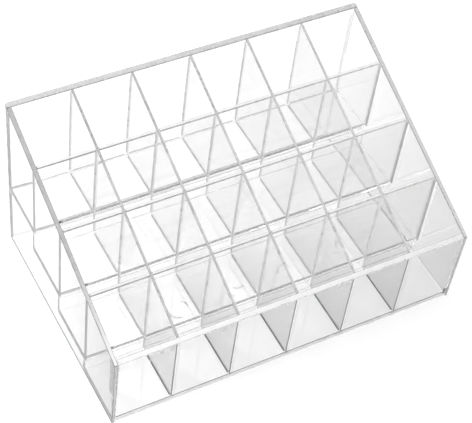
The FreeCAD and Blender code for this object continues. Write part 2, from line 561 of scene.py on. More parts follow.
# Where these edges lift towards the right or the front, or sink towards the right as the front rim does,
# that is painted light and shade; where they glow, as the left rim towards its front end, the front rim and
# the column ends do, that is painted light.
SHELL_RIM = FrostedEdge("shell_rim", (0.68, 0.74), 0.4, painted_front_lift=0.2)
LEFT_RIM = FrostedEdge(
    "left_rim", (0.68, 0.74), 0.4, painted_front_lift=0.25, piped_light=0.3, painted_glow_shares=(0.0, 1.0),
    lift_start=-12.0 * MM, lift_end=-45.0 * MM)
BACK_RIM = FrostedEdge("back_rim", (0.72, 0.8), 0.4)
FRONT_RIM = FrostedEdge("front_rim", (0.92, 0.99), 0.1, right_lift=-0.12, piped_light=0.1)
ROW_RIM = FrostedEdge("row_rim", (0.95, 0.99), 0.1)
COLUMN_RIM = FrostedEdge("column_rim", (0.56, 0.66), 0.4, right_lift=0.25)
SAWN_END = FrostedEdge("sawn_end", (0.66, 0.74), 0.15)
FLOOR_LINE = FrostedEdge("floor_line", (0.72, 0.8), 0.1, gloss=0.0)
RIGHT_END = FrostedEdge("right_panel_end", (0.54, 0.64), 0.1)
PALE_END = FrostedEdge("pale_end", (0.95, 0.99), 0.3)
COLUMN_END = FrostedEdge("column_end", (0.95, 0.99), 0.1, piped_light=0.2)
SHELL_ARRIS = FrostedEdge("shell_arris", (0.36, 0.44), 0.3)
ROW_ARRIS = FrostedEdge("row_arris", (0.34, 0.42), 0.2, right_lift=0.3)
COLUMN_ARRIS = FrostedEdge("column_arris", (0.36, 0.44), 0.4, right_lift=0.15)
PALE_ARRIS = FrostedEdge("pale_arris", (0.95, 0.99), 0.85)
DARK_BOND = FrostedEdge("dark_bond", (0.03, 0.08), 0.0, gloss=0.0)
PANEL_BOND = FrostedEdge("panel_bond", (0.18, 0.26), 0.0, gloss=0.0)
END_BOND = FrostedEdge("end_bond", (0.46, 0.58), 0.0, gloss=0.0)
FOOT_BOND = FrostedEdge("foot_bond", (0.2, 0.28), 0.2, gloss=0.0)
GREY_BOND = FrostedEdge("grey_bond", (0.28, 0.36), 0.2, right_lift=0.1, gloss=0.0)
# Where these tints darken the panels and dividers towards the front, and the front panel and row dividers
# towards the right, that is painted shade over the sheets' own faint tint.
LEFT_DRESS = SheetDress(
    ClearSheet("left_panel_clear", (0.62, 0.94), 0.97), LEFT_RIM, SAWN_END, SHELL_ARRIS, PANEL_BOND)
RIGHT_DRESS = SheetDress(
    ClearSheet("right_panel_clear", (0.74, 0.96), 0.97, back=40.0 * MM),
    SHELL_RIM, RIGHT_END, SHELL_ARRIS, END_BOND)
BACK_DRESS = SheetDress(
    ClearSheet("back_panel_clear", (0.985, 0.985), 0.97), BACK_RIM, SAWN_END, SHELL_ARRIS, GREY_BOND)
FRONT_DRESS = SheetDress(
    ClearSheet("front_panel_clear", (0.91, 0.91), 0.97, right_shade_share=0.83),
    FRONT_RIM, PALE_END, PALE_ARRIS, FOOT_BOND)
FLOOR_DRESS = SheetDress(
    ClearSheet("row_floor_clear", (1.0, 1.0), 0.985), FLOOR_LINE, PALE_END, PALE_ARRIS, DARK_BOND)
FRONT_FLOOR_DRESS = SheetDress(FLOOR_DRESS.face, FLOOR_LINE, COLUMN_END, COLUMN_END, END_BOND)
RISER_DRESS = SheetDress(
    ClearSheet("riser_clear", (1.0, 1.0), 0.99), SHELL_RIM, PALE_END, PALE_ARRIS, DARK_BOND)
ROW_DRESS = SheetDress(
    ClearSheet("row_divider_clear", (0.99, 0.99), 0.975, right_shade_share=0.9),
    ROW_RIM, PALE_END, ROW_ARRIS, GREY_BOND)
COLUMN_DRESS = SheetDress(
    ClearSheet("column_divider_clear", (0.6, 0.88), 0.93, rise_share=1.2, front=-32.0 * MM, back=24.0 * MM),
    COLUMN_RIM, COLUMN_END, COLUMN_ARRIS, GREY_BOND)
# The white cement, with its glow, is a painted highlight beside the joints that it lines; the lifts to the
# right of the pale and grey cement are painted light.
HIGHLIGHT_CEMENT = cement("highlight_cement", (0.95, 0.99), piped_light=0.12)
PALE_CEMENT = cement("pale_cement", (0.68, 0.78), 0.2, right_lift=0.2)
GREY_CEMENT = cement("grey_cement", (0.36, 0.46), 0.1, right_lift=0.25, gloss=0.2)
SLATE_CEMENT = cement("slate_cement", (0.12, 0.2), gloss=0.0)
DARK_CEMENT = cement("dark_cement", (0.03, 0.1), gloss=0.0)


class Bench:
    """The bench where every piece is blocked out, trimmed, notched and eased."""

    EASE_ANGLE = math.radians(30.0)
    EASE_FLATS = 2
    # The least part of a face's normal that makes it flat to a direction, or eased towards it.
    FLAT = 0.97
    EASED = 0.3
    SKIN = 1.2 * MM
    NEAR = 0.01 * MM

    @staticmethod
    def clear() -> None:
        """Leaves edit mode and lets go of everything that is selected."""
        if bpy.context.mode != "OBJECT":
            bpy.ops.object.mode_set(mode="OBJECT")
        bpy.ops.object.select_all(action="DESELECT")

    @staticmethod
    def hold(*pieces: Piece) -> None:
        """Selects these pieces and nothing else.

        Args:
            pieces: The pieces, of which the first becomes the active one.
        """
        Bench.clear()
        for piece in pieces:
            piece.select_set(True)
        bpy.context.view_layer.objects.active = pieces[0]

    @staticmethod
    def block(name: str, low: Vector, high: Vector) -> Piece:
        """Adds a cube stretched between two corners, with its place in its mesh.

        Args:
            name: The piece's name.
            low: The lowest corner.
            high: The highest corner.

        Returns:
            The new piece.
        """
        Bench.clear()
        bpy.ops.mesh.primitive_cube_add(size=1.0, location=(low + high) / 2, scale=high - low)
        piece = bpy.context.object
        piece.name = name
        bpy.ops.object.transform_apply(location=True, rotation=True, scale=True)
        return piece

    @staticmethod
    def score(piece: Piece, point: Vector, across: Vector, **cut: bool) -> None:
        """Splits the faces of a piece along a plane.

        Args:
            piece: The piece to score.
            point: A point of the plane.
            across: The plane's normal.
            cut: Settings that cut the piece as well.
        """
        Bench.hold(piece)
        bpy.ops.object.mode_set(mode="EDIT")
        bpy.ops.mesh.select_all(action="SELECT")
        bpy.ops.mesh.bisect(plane_co=point, plane_no=across, **cut)
        bpy.ops.object.mode_set(mode="OBJECT")

    @staticmethod
    def trim(piece: Piece, point: Vector, outward: Vector) -> None:
        """Cuts away what lies beyond a plane, on its outward side, and closes the cut."""
        Bench.score(piece, point, outward, use_fill=True, clear_outer=True)

    @staticmethod
    def stripe(piece: Piece, way: Vector, low: Vector, high: Vector, part: Part) -> None:
        """Scores a rectangle into a face of a sheet and gives it another finish.

        Args:
            piece: The sheet.
            way: The direction that the face looks.
            low: The rectangle's lowest corner.
            high: The rectangle's highest corner.
            part: The part of the sheet whose finish the rectangle takes.
        """
        flat = [axis for axis in (RIGHT, REAR, UP) if abs(axis.dot(way)) < Bench.FLAT]
        for axis in flat:
            Bench.score(piece, low, axis)
            Bench.score(piece, high, axis)
        for plane in piece.data.polygons:
            inside = all(low.dot(axis) < plane.center.dot(axis) < high.dot(axis) for axis in flat)
            if inside and plane.normal.dot(way) > Bench.FLAT:
                plane.material_index = part.value

    @staticmethod
    def notch(piece: Piece, low: Vector, high: Vector) -> None:
        """Saws a box out of a piece.

        Args:
            piece: The piece to saw.
            low: The box's lowest corner.
            high: The box's highest corner.
        """
        saw = Bench.block("saw", low, high)
        Bench.hold(piece)
        cut = piece.modifiers.new("notch", "BOOLEAN")
        cut.operation = "DIFFERENCE"
        cut.solver = "EXACT"
        cut.object = saw
        bpy.ops.object.modifier_apply(modifier=cut.name)
        bpy.data.meshes.remove(saw.data)

    @staticmethod
    def ease(piece: Piece, width: float) -> None:
        """Takes the sharp arrises off a piece.

        Args:
            piece: The piece to ease.
            width: How far the rounding reaches from the arris.
        """
        Bench.hold(piece)
        arris = piece.modifiers.new("arris", "BEVEL")
        arris.width = width
        arris.segments = Bench.EASE_FLATS
        arris.limit_method = "ANGLE"
        arris.angle_limit = Bench.EASE_ANGLE
        bpy.ops.object.modifier_apply(modifier=arris.name)

    @staticmethod
    def pick_edges(piece: Piece, wanted: Callable[[Vector, Vector], bool]) -> None:
        """Goes into edit mode with only some edges of a piece selected.

        Args:
            piece: The piece to work on.
            wanted: Tells from an edge's two ends whether it is selected.
        """
        Bench.hold(piece)
        bpy.ops.object.mode_set(mode="EDIT")
        bpy.ops.mesh.select_mode(type="EDGE")
        bpy.ops.mesh.select_all(action="DESELECT")
        bpy.ops.object.mode_set(mode="OBJECT")
        corners = piece.data.vertices
        for edge in piece.data.edges:
            edge.select = wanted(*(corners[index].co for index in edge.vertices))
        bpy.ops.object.mode_set(mode="EDIT")

    @staticmethod
    def copy(piece: Piece, name: str, shift: Vector) -> Piece:
        """Copies a piece with its own mesh and moves the copy.

        Args:
            piece: The piece to copy.
            name: The copy's name.
            shift: How far the copy moves.

        Returns:
            The copy, at the origin, with its place in its mesh.
        """
        Bench.hold(piece)
        bpy.ops.object.duplicate()
        twin = bpy.context.object
        twin.name = name
        bpy.ops.transform.translate(value=shift)
        bpy.ops.object.transform_apply(location=True, rotation=True, scale=True)
        return twin

    @staticmethod
    def mark_edges(piece: Piece, rim: Vector, ends: Sequence[Vector],
                   bonds: Sequence[Vector]) -> None:
        """Sorts the faces of a sheet: broad faces, rim, sawn ends, their arrises and bonds.

        Args:
            piece: The piece to mark.
            rim: The direction that its rim faces.
            ends: The directions that its other open edges face.
            bonds: The directions that its bonded edges face.
        """
        for plane in piece.data.polygons:
            turned = [plane.normal.dot(way) for way in (rim, *ends)]
            if turned[0] > Bench.FLAT:
                plane.material_index = Part.RIM.value
            elif any(Bench.is_outermost(piece, plane, way) for way in ends):
                plane.material_index = Part.END.value
            elif any(Bench.is_outermost(piece, plane, way) for way in bonds):
                plane.material_index = Part.BOND.value
            elif Bench.is_broad(plane.normal):
                plane.material_index = Part.FACE.value
            elif max(turned) > Bench.EASED:
                plane.material_index = Part.ARRIS.value

    @staticmethod
    def is_outermost(piece: Piece, plane: bpy.types.MeshPolygon, way: Vector) -> bool:
        """Tells whether a face of a piece looks a certain way from the piece's very end."""
        reach = max(corner.co.dot(way) for corner in piece.data.vertices)
        return plane.normal.dot(way) > Bench.FLAT and plane.center.dot(way) > reach - Bench.SKIN

    @staticmethod
    def is_broad(normal: Vector) -> bool:
        """Tells whether a face lies square to one of the axes."""
        return max(abs(part) for part in normal) > Bench.FLAT


@dataclass(frozen=True)
class RimPlane:
    """The one sloping plane that every rim is cut to."""

    front: Vector
    back: Vector

    @classmethod
    def from_frame(cls) -> "RimPlane":
        """Lays the plane through the highest edges of the front and back panels.

        Returns:
            The plane.
        """
        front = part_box("front_panel")[1]
        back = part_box("back_panel")[1]
        return cls(Vector((0.0, front.y, front.z)), Vector((0.0, back.y, back.z)))

    @property
    def outward(self) -> Vector:
        """The plane's normal, pointing up and out of the organizer."""
        run = self.back - self.front
        return Vector((0.0, -run.z, run.y)).normalized()

    def height(self, depth: float) -> float:
        """Returns the rim's height at a place from front to back."""
        share = (depth - self.front.y) / (self.back.y - self.front.y)
        return self.front.z + share * (self.back.z - self.front.z)

    def trim(self, piece: Piece) -> None:
        """Cuts a piece flush with the rims."""
        Bench.trim(piece, self.front, self.outward)


@dataclass
class SubAssembly:
    """Sheets that are made together and share a record slot."""

    rim: RimPlane
    slot: Slot
    pieces: list[Piece] = field(default_factory=list)

    def settle(self, piece: Piece, node: str, dress: SheetDress,
               ends: Sequence[Vector] = (), bonds: Sequence[Vector] = ()) -> None:
        """Dresses a finished sheet and puts it in the place of its CAD node.

        Args:
            piece: The finished sheet.
            node: The CAD node that it stands for.
            dress: The sheet's finishes.
            ends: The directions that its open edges other than the rim face.
            bonds: The directions that its bonded edges face.
        """
        piece.data.materials.clear()
        for finish in (dress.face, dress.rim, dress.end, dress.arris, dress.bond):
            piece.data.materials.append(finish.material())
        Bench.mark_edges(piece, self.rim.outward, ends, bonds)
        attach(piece, BODY)
        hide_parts(node)
        self.pieces.append(piece)

    def dash(self, sheet: Piece, way: Vector, low: Vector, high: Vector) -> None:
        """Marks a dark dash of cement between two corners on a face of a settled sheet."""
        sheet.data.materials.append(DARK_BOND.material())
        Bench.stripe(sheet, way, low, high, Part.DASH)


@dataclass
class Shell(SubAssembly):
    """The two side panels, the back panel and the front panel."""

    arris: float = 0.25 * MM
    corner_radius: float = 1.2 * MM
    corner_flats: int = 8
    foot_line: float = 1.25 * MM
    rim_line: float = 0.5 * MM
    joint_line: float = 0.9 * MM
    dash_line: float = 0.8 * MM
    dash_run: float = 8.5 * MM
    front_squeeze: float = 1.2 * MM
    floor_squeeze: float = 1.8 * MM
    corner_squeeze: float = 2.0 * MM
    joint_share: float = 0.7

    def build(self) -> None:
        """Makes the four walls."""
        for side in Side:
            self.side_panel(side)
        self.back_panel()
        self.front_panel()

    def outer_face(self, side: Side) -> tuple[Vector, Vector]:
        """Finds the leaning outer face of a side.

        Args:
            side: The side to look at.

        Returns:
            A point at its foot and its outward normal.
        """
        corners = [corner.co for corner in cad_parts[side.panel].data.vertices]
        feet = [corner for corner in corners if corner.z < Bench.NEAR]
        top, foot = (max(group, key=lambda corner: abs(corner.x)) for group in (corners, feet))
        lean = Vector((top.x - foot.x, 0.0, top.z - foot.z))
        return Vector((foot.x, 0.0, 0.0)), Vector((lean.z, 0.0, -lean.x)).normalized() * side.value

    def side_panel(self, side: Side) -> None:
        """Makes a side panel, plumb inside and leaning outside.

        Args:
            side: The side that it stands on.
        """
        low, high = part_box(side.panel)
        sheet = Bench.block(f"{side.word}_side", low, high)
        self.rim.trim(sheet)
        Bench.trim(sheet, *self.outer_face(side))
        Bench.ease(sheet, self.arris)
        if side is Side.LEFT:
            self.settle(sheet, side.panel, LEFT_DRESS, (FORWARD,), (REAR, DOWN))
            self.mark_left_joints(sheet)
        else:
            self.settle(sheet, side.panel, RIGHT_DRESS, (FORWARD,), (DOWN,))
        self.mark_row_joints(sheet, LEFT * side.value)
        outward = self.outer_face(side)[1]
        Bench.stripe(sheet, outward, low, Vector((0.0, high.y, self.foot_line)), Part.BOND)

    def mark_row_joints(self, sheet: Piece, inward: Vector) -> None:
        """Marks where the row dividers are cemented to a side panel.

        Args:
            sheet: The side panel.
            inward: The direction that its inner face looks.
        """
        for node in ROW_DIVIDERS:
            low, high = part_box(node)
            rear = low.y + (high.y - low.y) * self.joint_share
            foot = Vector((0.0, low.y - self.front_squeeze, low.z))
            head = Vector((0.0, rear, self.rim.height(foot.y) - self.arris))
            Bench.stripe(sheet, inward, foot, head, Part.BOND)

    def mark_left_joints(self, sheet: Piece) -> None:
        """Marks where the floors and the front panel are cemented to the left side panel.

        Args:
            sheet: The left side panel.
        """
        for node in ROW_FLOORS:
            low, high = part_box(node)
            rear = Vector((0.0, high.y, high.z + self.floor_squeeze))
            Bench.stripe(sheet, RIGHT, Vector((0.0, low.y, high.z)), rear, Part.BOND)
        low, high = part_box("front_panel")
        rear = Vector((0.0, high.y + self.corner_squeeze, high.z))
        Bench.stripe(sheet, RIGHT, Vector((0.0, low.y, DRY_HEIGHT)), rear, Part.ARRIS)

    def back_panel(self) -> None:
        """Makes the back panel with leaning ends and rounded rear corners."""
        low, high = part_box("back_panel")
        wide = Vector((self.corner_radius, 0.0, 0.0))
        sheet = Bench.block("back", low - wide, high + wide)
        self.rim.trim(sheet)
        for side in Side:
            Bench.trim(sheet, *self.outer_face(side))
        self.round_corners(sheet, high.y)
        Bench.ease(sheet, self.arris)
        self.settle(sheet, "back_panel", BACK_DRESS, (LEFT, RIGHT, DOWN))
        floor_low, floor_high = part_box(ROW_FLOORS[-1])
        foot = Vector((floor_low.x, 0.0, floor_high.z))
        self.dash(sheet, FORWARD, foot, foot + Vector((self.dash_run, 0.0, self.dash_line)))

    def round_corners(self, sheet: Piece, rear: float) -> None:
        """Rounds the two upright rear corners of the back panel.

        Args:
            sheet: The back panel.
            rear: The place of its rear face.
        """
        Bench.pick_edges(sheet, lambda one, two: min(one.y, two.y) > rear - Bench.NEAR
                         and abs(one.z - two.z) > self.corner_radius)
        bpy.ops.mesh.bevel(offset=self.corner_radius, segments=self.corner_flats, affect="EDGES")
        bpy.ops.object.mode_set(mode="OBJECT")

    def front_panel(self) -> None:
        """Makes the front panel, whose ends stayed dry near the foot."""
        low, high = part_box("front_panel")
        sheet = Bench.block("front", low, high)
        self.rim.trim(sheet)
        Bench.ease(sheet, self.arris)
        Bench.score(sheet, UP * DRY_HEIGHT, UP)
        self.settle(sheet, "front_panel", FRONT_DRESS, (RIGHT, DOWN), (LEFT,))
        for plane in sheet.data.polygons:
            if abs(plane.normal.x) > Bench.FLAT and plane.center.z < DRY_HEIGHT:
                plane.material_index = Part.FACE.value
        line = Vector((low.x, 0.0, self.rim.height(high.y) - self.rim_line))
        Bench.stripe(sheet, REAR, line, high, Part.BOND)
        Bench.stripe(sheet, REAR, low, Vector((high.x, 0.0, low.z + self.joint_line)), Part.BOND)


@dataclass
class Stair(SubAssembly):
    """The four row floors and the three risers between them."""

    arris: float = 0.2 * MM
    front_line: float = 0.5 * MM

    def build(self) -> None:
        """Makes the floors and the risers."""
        front_floor, *other_floors = ROW_FLOORS
        sheet = self.plate(front_floor, FRONT_FLOOR_DRESS, (FORWARD, RIGHT))
        low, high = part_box(front_floor)
        Bench.stripe(sheet, FORWARD, Vector((low.x, low.y, high.z - self.front_line)), high, Part.RIM)
        for node in other_floors:
            self.plate(node, FLOOR_DRESS, (RIGHT,))
        for node in RISERS:
            self.plate(node, RISER_DRESS, (UP, DOWN, RIGHT))

    def plate(self, node: str, dress: SheetDress, ends: Sequence[Vector]) -> Piece:
        """Makes one plate of the stair.

        Args:
            node: The CAD node that it stands for.
            dress: The plate's finishes.
            ends: The directions that its pale edges face.

        Returns:
            The plate.
        """
        sheet = Bench.block(f"{node}_plate", *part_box(node))
        Bench.ease(sheet, self.arris)
        self.settle(sheet, node, dress, ends, (LEFT,))
        return sheet


@dataclass
class Grid(SubAssembly):
    """The three row dividers and the five column dividers that halve into them."""

    arris: float = 0.14 * MM
    rim_line: float = 0.6 * MM
    foot_line: float = 0.65 * MM
    dash_line: float = 0.9 * MM
    dash_run: float = 9.5 * MM
    slot_play: float = 0.1 * MM
    saw_overrun: float = 1.0 * MM
    step_area: float = 5.0 * MM * MM

    def build(self) -> None:
        """Makes the row dividers, then one column divider and its copies."""
        for node in ROW_DIVIDERS:
            self.row_divider(node)
        first = self.column_divider(COLUMN_DIVIDERS[0])
        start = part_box(COLUMN_DIVIDERS[0])[0]
        sheets = [first]
        for node in COLUMN_DIVIDERS[1:]:
            sheets.append(Bench.copy(first, f"{node}_sheet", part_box(node)[0] - start))
        for node, sheet in zip(COLUMN_DIVIDERS, sheets):
            self.settle(sheet, node, COLUMN_DRESS, (FORWARD,), (REAR, DOWN))
            self.mark_steps(sheet)
            self.mark_slots(sheet, (FORWARD, REAR))

    def mark_slots(self, sheet: Piece, ways: Sequence[Vector]) -> None:
        """Gives the sawn walls of a divider's slots their pale look.

        Args:
            sheet: The divider.
            ways: The directions that the walls face.
        """
        for plane in sheet.data.polygons:
            faces_slot = max(plane.normal.dot(way) for way in ways) > Bench.FLAT
            if faces_slot and plane.material_index == Part.FACE.value:
                plane.material_index = Part.END.value

    def mark_steps(self, sheet: Piece) -> None:
        """Gives the higher steps of a column divider's foot the look of its lowest one.

        Args:
            sheet: The column divider.
        """
        for plane in sheet.data.polygons:
            if plane.normal.dot(DOWN) > Bench.FLAT and plane.area > self.step_area:
                plane.material_index = Part.BOND.value

    def row_divider(self, node: str) -> None:
        """Makes a row divider with a slot from its rim for each column divider.

        Args:
            node: The CAD node that it stands for.
        """
        low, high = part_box(node)
        sheet = Bench.block(f"{node}_sheet", low, high)
        self.rim.trim(sheet)
        half_way = (low.z + self.rim.height(low.y)) / 2 - self.slot_play
        play = Vector((self.slot_play, self.saw_overrun, 0.0))
        for column in COLUMN_DIVIDERS:
            left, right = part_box(column)
            foot = Vector((left.x, low.y, half_way)) - play
            head = Vector((right.x, high.y, high.z + self.saw_overrun)) + play
            Bench.notch(sheet, foot, head)
        Bench.ease(sheet, self.arris)
        self.settle(sheet, node, ROW_DRESS, (RIGHT,), (LEFT,))
        self.mark_slots(sheet, (LEFT, RIGHT))
        for plane in sheet.data.polygons:
            if plane.material_index == Part.ARRIS.value and plane.normal.dot(REAR) > Bench.EASED:
                plane.material_index = Part.RIM.value
        line = Vector((low.x, low.y, self.rim.height(low.y) - self.rim_line))
        Bench.stripe(sheet, FORWARD, line, high, Part.ARRIS)
        Bench.stripe(sheet, REAR, low, Vector((high.x, high.y, low.z + self.foot_line)), Part.ARRIS)
        self.dash(sheet, REAR, low, Vector((low.x + self.dash_run, high.y, low.z + self.dash_line)))

    def column_divider(self, node: str) -> Piece:
        """Makes a column divider whose foot follows the stair.

        Args:
            node: The CAD node that it stands for.

        Returns:
            The sheet, not yet dressed.
        """
        low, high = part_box(node)
        sheet = Bench.block(f"{node}_sheet", low, high)
        self.rim.trim(sheet)
        play = Vector((self.saw_overrun, self.slot_play, 0.0))
        for row in ROW_DIVIDERS:
            front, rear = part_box(row)
            foot = Vector((low.x, front.y, low.z - self.saw_overrun)) - play
            half_way = (front.z + self.rim.height(front.y)) / 2
            Bench.notch(sheet, foot, Vector((high.x, high.y + self.saw_overrun, front.z)) + play)
            Bench.notch(sheet, foot, Vector((high.x, rear.y, half_way)) + play)
        Bench.ease(sheet, self.arris)
        return sheet


@dataclass(frozen=True)
class Joint:
    """A stretch of cement: where it runs, and how far it reaches to its two sides."""

    start: Vector
    end: Vector
    first: Vector
    second: Vector


@dataclass
class Cement:
    """The solvent cement: beads and films along the joints, drops, specks and smears.

    Each is a model of unit size that is copied into its places. One piece holds a family of them.
    """

    rim: RimPlane
    foot_size: float = 0.42 * MM
    upright_size: float = 0.35 * MM
    line_size: float = 0.3 * MM
    film_depth: float = 0.03 * MM
    film_margin: float = 0.08 * MM
    film_size: float = 1.0 * MM
    squeeze: float = 1.2 * MM
    drop_size: float = 2.0 * MM
    drop_depth: float = 1.2 * MM
    drop_shifts: tuple[float, float] = (6.5 * MM, 2.8 * MM)
    drop_level: float = 4.8 * MM
    drop_columns: tuple[int, ...] = (0, 1, 3)
    drop_sag_share: float = 0.3
    drop_flats: int = 12
    drop_rings: int = 8
    speck_size: float = 0.9 * MM
    speck_length: float = 1.8 * MM
    speck_rise: float = 8.0 * MM
    speck_count: int = 3
    smear_sizes: tuple[float, float] = (3.0 * MM, 8.0 * MM)
    smear_height: float = 0.25 * MM
    smear_thick_share: float = 0.06
    smear_reach: tuple[float, float] = (3.5 * MM, 10.0 * MM)
    smears_per_cell: int = 2
    smear_flats: int = 20
    smear_sides: int = 6
    corner_size: float = 0.8 * MM
    foot_corner_size: float = 0.6 * MM
    corner_run: float = 10.5 * MM
    rear_stop: float = 3.0 * MM
    clearance: float = 0.01 * MM
    margin: float = 1.0 * MM
    shortest: float = 8.0 * MM
    longest: float = 25.0 * MM
    widest_gap: float = 0.5 * MM
    thick_shares: tuple[float, float] = (0.8, 1.2)
    half_share: float = 0.5
    hollow_share: float = 0.88
    hollow_profile_share: float = 0.12
    hollow_flats: int = 4
    rings: int = 5
    unevenness_share: float = 0.2
    seed: int = 11
    chance: random.Random = field(init=False)
    pieces: list[Piece] = field(default_factory=list)

    def __post_init__(self) -> None:
        """Starts the chance that makes the cement uneven."""
        self.chance = random.Random(self.seed)

    def build(self) -> None:
        """Lays every family of joints."""
        models = (self.one_bead(), self.one_film(), self.one_drop(), self.one_smear())
        bead, film, drop, smear = models
        for node in COLUMN_DIVIDERS:
            first, others = self.column_foot(node)
            self.lay(f"{node}_front_foot_bead", bead, first, DARK_CEMENT)
            self.lay(f"{node}_foot_bead", bead, others, GREY_CEMENT)
            front, left, right = self.column_uprights(node)
            self.lay(f"{node}_front_upright", bead, front, DARK_CEMENT)
            self.lay(f"{node}_left_uprights", bead, left, PALE_CEMENT)
            # The beads right of each column are white as a painted highlight.
            self.lay(f"{node}_right_highlight_uprights", bead, right, HIGHLIGHT_CEMENT)
        for node in ROW_DIVIDERS:
            corner, others = self.row_foot(node)
            self.lay(f"{node}_corner_bead", bead, corner, DARK_CEMENT)
            self.lay(f"{node}_foot_bead", bead, others, PALE_CEMENT)
            # The film in front of each row's right end is a painted highlight.
            self.lay(f"{node}_end_highlight_film", film, self.row_end_highlight(node), HIGHLIGHT_CEMENT)
        corner, others = self.back_foot()
        self.lay("back_corner_bead", bead, corner, SLATE_CEMENT)
        self.lay("back_foot_bead", bead, others, PALE_CEMENT)
        # The right rear corner bead takes the white cement as a painted highlight.
        tones = {Side.LEFT: (SLATE_CEMENT, GREY_CEMENT), Side.RIGHT: (HIGHLIGHT_CEMENT, PALE_CEMENT)}
        for side, (rear, front) in tones.items():
            self.lay(f"rear_{side.word}_corner_bead", bead, self.rear_corner(side), rear)
            self.lay(f"front_{side.word}_corner_bead", bead, self.front_corner(side), front)
        self.lay("front_rim_drops", drop, self.rim_drops(), PALE_CEMENT)
        self.lay("front_corner_specks", drop, self.corner_specks(), DARK_CEMENT)
        self.lay("floor_smears", smear, self.floor_smears(), PALE_CEMENT)
        for model in models:
            bpy.data.meshes.remove(model.data)

    def one_bead(self) -> Piece:
        """Makes the bead's model: a square bar hollowed along one edge.

        Returns:
            The model.
        """
        bar = Bench.block("bead", Vector(), RIGHT + REAR + UP)
        Bench.pick_edges(bar, lambda one, two: min(one.x, two.x, one.z, two.z) > self.half_share)
        bpy.ops.mesh.bevel(offset=self.hollow_share, segments=self.hollow_flats,
                           profile=self.hollow_profile_share, affect="EDGES")
        self.ring(bar)
        return bar

    def one_film(self) -> Piece:
        """Makes the film's model: a flat bar with eased sides.

        Returns:
            The model.
        """
        bar = Bench.block("film", Vector(), RIGHT + REAR + UP)
        Bench.pick_edges(bar, self.runs_along)
        bpy.ops.mesh.bevel(offset=1.0 - self.hollow_share, segments=Bench.EASE_FLATS, affect="EDGES")
        self.ring(bar)
        return bar

    def runs_along(self, one: Vector, two: Vector) -> bool:
        """Tells from an edge's two ends whether it runs along a model's way."""
        return abs(one.y - two.y) > self.half_share

    def ring(self, bar: Piece) -> None:
        """Divides a bar along its way, so that its thickness can vary.

        Args:
            bar: The bar.
        """
        Bench.pick_edges(bar, self.runs_along)
        bpy.ops.mesh.subdivide(number_cuts=self.rings)
        bpy.ops.object.mode_set(mode="OBJECT")

    def one_drop(self) -> Piece:
        """Makes the drop's model: half a ball on a wall, sagging at its foot.

        Returns:
            The model.
        """
        Bench.clear()
        middle = (REAR + UP) * self.half_share
        bpy.ops.mesh.primitive_uv_sphere_add(segments=self.drop_flats, ring_count=self.drop_rings,
                                             radius=self.half_share, location=middle)
        bpy.ops.object.transform_apply(location=True, rotation=True, scale=True)
        ball = bpy.context.object
        Bench.trim(ball, middle, LEFT)
        Bench.pick_edges(ball, lambda one, two: max(one.y, two.y) < self.drop_sag_share)
        bpy.ops.transform.translate(value=FORWARD * self.drop_sag_share)
        bpy.ops.object.mode_set(mode="OBJECT")
        return ball

    def one_smear(self) -> Piece:
        """Makes the smear's model: a quarter ring with a half-round section, lying on a floor.

        Returns:
            The model.
        """
        Bench.clear()
        bpy.ops.mesh.primitive_torus_add(
            major_segments=self.smear_flats, minor_segments=self.smear_sides,
            major_radius=self.half_share, minor_radius=self.smear_thick_share)
        ring = bpy.context.object
        for away in (LEFT, FORWARD, DOWN):
            Bench.trim(ring, Vector(), away)
        return ring

    def lay(self, name: str, model: Piece, joints: Sequence[Joint],
            finish: FrostedEdge) -> None:
        """Copies a model into every joint of a family and joins the copies.

        Args:
            name: The piece's name.
            model: The bead, film, drop or smear of unit size.
            joints: The joints to fill.
            finish: The cement's finish.
        """
        copies = [self.place(model, joint) for joint in joints]
        Bench.hold(*copies)
        if len(copies) > 1:
            bpy.ops.object.join()
        piece = bpy.context.object
        piece.name = name
        piece.data.materials.clear()
        piece.data.materials.append(finish.material())
        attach(piece, BODY)
        self.pieces.append(piece)

    def place(self, model: Piece, joint: Joint) -> Piece:
        """Copies a model into one joint, a little wider or narrower along its way.

        Args:
            model: The bead, film, drop or smear of unit size.
            joint: The joint to fill.

        Returns:
            The copy.
        """
        copy = Bench.copy(model, "cement_copy", Vector())
        for corner in copy.data.vertices:
            corner.co.z *= 1.0 - self.unevenness_share * self.chance.random()
        axes = Matrix((joint.first, joint.end - joint.start, joint.second)).transposed()
        gap = (joint.first.normalized() + joint.second.normalized()) * self.clearance
        copy.data.transform(Matrix.Translation(joint.start + gap) @ axes.to_4x4())
        if axes.determinant() < 0.0:
            copy.data.flip_normals()
        return copy

    def stretches(self, start: Vector, end: Vector, first: Vector, second: Vector) -> list[Joint]:
        """Breaks a joint into stretches with small gaps, as brushed cement leaves it.

        Args:
            start: The joint's start.
            end: The joint's end.
            first: How far the cement reaches to one side.
            second: How far the cement reaches to the other side.

        Returns:
            The stretches.
        """
        length = (end - start).length
        along = (end - start) / length
        found = []
        reach = 0.0
        while reach < length - self.widest_gap:
            run = min(self.chance.uniform(self.shortest, self.longest), length - reach)
            wide = second * self.chance.uniform(*self.thick_shares)
            found.append(Joint(start + along * reach, start + along * (reach + run), first, wide))
            reach += run + self.chance.uniform(0.0, self.widest_gap)
        return found

    def cells(self, node: str) -> list[tuple[float, float, float]]:
        """Finds the cells beside a column divider.

        Args:
            node: The column divider.

        Returns:
            The front, back and floor of each cell.
        """
        low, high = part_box(node)
        fronts = [low.y] + [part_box(row)[1].y for row in ROW_DIVIDERS]
        backs = [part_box(row)[0].y for row in ROW_DIVIDERS] + [high.y]
        tops = [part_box(floor)[1].z for floor in ROW_FLOORS]
        return list(zip(fronts, backs, tops))

